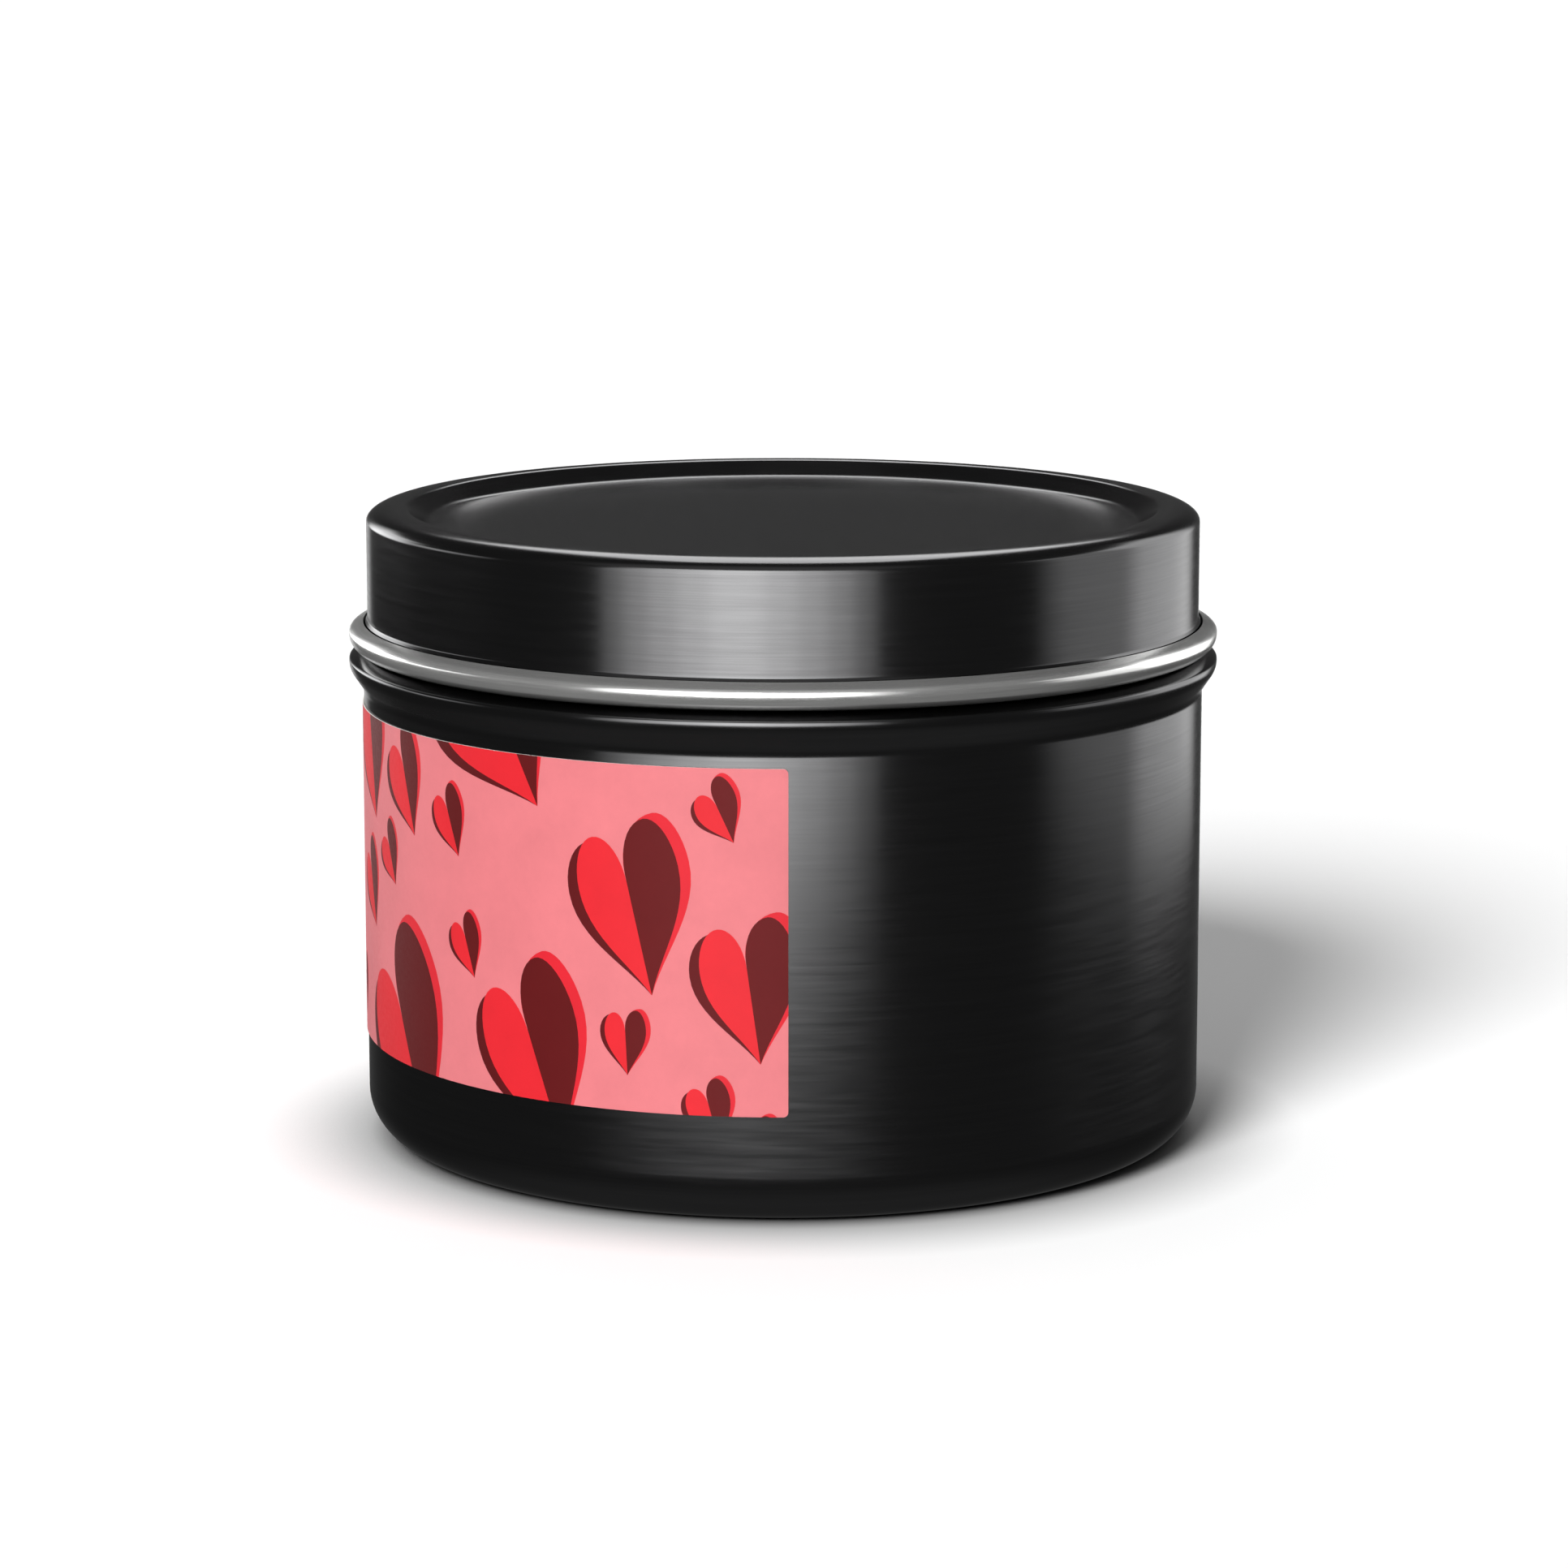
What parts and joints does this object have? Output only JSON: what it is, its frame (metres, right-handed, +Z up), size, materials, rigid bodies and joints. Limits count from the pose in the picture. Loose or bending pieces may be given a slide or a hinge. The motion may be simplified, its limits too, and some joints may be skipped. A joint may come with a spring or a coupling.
{
  "type": "candle tin",
  "caption": "Round black slip-lid candle tin with a bare metal curl on the lid, a wrapped front label, poured wax and a tabbed wick.",
  "frame": {"origin": "centre of the base, on the plane that the standing ring rests on", "axes": "+Z up along the tin's axis and the way the lid lifts; -Y out of the middle of the front label; +X to the label's right as it faces the viewer"},
  "size_m": [0.0806, 0.0806, 0.059],
  "materials": {
    "black_coat": "satin",
    "tinplate": "satin",
    "wax": "satin",
    "cotton": "matte",
    "foam": "matte",
    "label_film": "satin",
    "label_paper": "matte"
  },
  "bodies": {
    "tin": {"tin_body": "black_coat", "wax": "wax", "wick": "cotton", "wick_tab": "tinplate", "wick_sticker": "foam", "front_label": "label_film", "base_label": "label_paper"},
    "lid": {"lid": "black_coat"}
  },
  "joints": [
    {"name": "lid_lift", "type": "slide", "parent": "tin", "child": "lid", "axis": [0, 0, 1], "range_m": [0, 0.03]}
  ]
}
